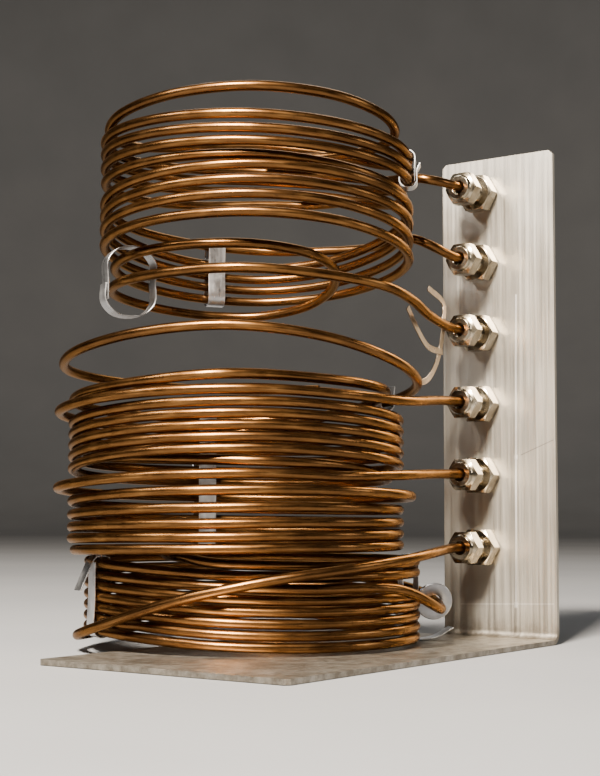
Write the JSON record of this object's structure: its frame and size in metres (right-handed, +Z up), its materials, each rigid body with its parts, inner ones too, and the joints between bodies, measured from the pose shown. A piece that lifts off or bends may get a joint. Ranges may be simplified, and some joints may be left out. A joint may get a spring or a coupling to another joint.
{
  "type": "gas chromatograph packed column set",
  "caption": "Set of gas chromatograph columns of coiled bronze-coloured tube, tied into bundles and joined to bulkhead fittings on a bent sheet-metal bracket.",
  "frame": {"origin": "under the middle of the whole set, on the bracket's underside", "axes": "+Z up along the riser, +X from the coils to the riser, +Y from the edge where the fittings' tubes meet the coils to the back of the coils"},
  "size_m": [0.1812, 0.137, 0.1866],
  "materials": {
    "bracket_sheet": "brushed",
    "column_tube": "drawn, semi-bright",
    "fitting_steel": "machined, semi-bright",
    "tie_strip": "soft rolled strip"
  },
  "bodies": {
    "root": {"back_ferrule_1": "fitting_steel", "back_ferrule_2": "fitting_steel", "back_ferrule_3": "fitting_steel", "back_ferrule_4": "fitting_steel", "back_ferrule_5": "fitting_steel", "back_ferrule_6": "fitting_steel", "bracket": "bracket_sheet", "fitting_body_1": "fitting_steel", "fitting_body_2": "fitting_steel", "fitting_body_3": "fitting_steel", "fitting_body_4": "fitting_steel", "fitting_body_5": "fitting_steel", "fitting_body_6": "fitting_steel", "front_ferrule_1": "fitting_steel", "front_ferrule_2": "fitting_steel", "front_ferrule_3": "fitting_steel", "front_ferrule_4": "fitting_steel", "front_ferrule_5": "fitting_steel", "front_ferrule_6": "fitting_steel", "front_nut_1": "fitting_steel", "front_nut_2": "fitting_steel", "front_nut_3": "fitting_steel", "front_nut_4": "fitting_steel", "front_nut_5": "fitting_steel", "front_nut_6": "fitting_steel", "jam_nut_1": "fitting_steel", "jam_nut_2": "fitting_steel", "jam_nut_3": "fitting_steel", "jam_nut_4": "fitting_steel", "jam_nut_5": "fitting_steel", "jam_nut_6": "fitting_steel", "long_column_coil": "column_tube", "loose_strap_hooked": "tie_strip", "loose_strap_short": "tie_strip", "middle_column_coil": "column_tube", "rear_nut_1": "fitting_steel", "rear_nut_2": "fitting_steel", "rear_nut_3": "fitting_steel", "rear_nut_4": "fitting_steel", "rear_nut_5": "fitting_steel", "rear_nut_6": "fitting_steel", "round_tag": "tie_strip", "tie_bottom_left": "tie_strip", "tie_bottom_right": "tie_strip", "tie_middle_back": "tie_strip", "tie_middle_right": "tie_strip", "tie_top_back": "tie_strip", "tie_top_left": "tie_strip", "tie_top_right": "tie_strip", "top_column_lower_coil": "column_tube", "top_column_upper_coil": "column_tube"}
  },
  "joints": []
}
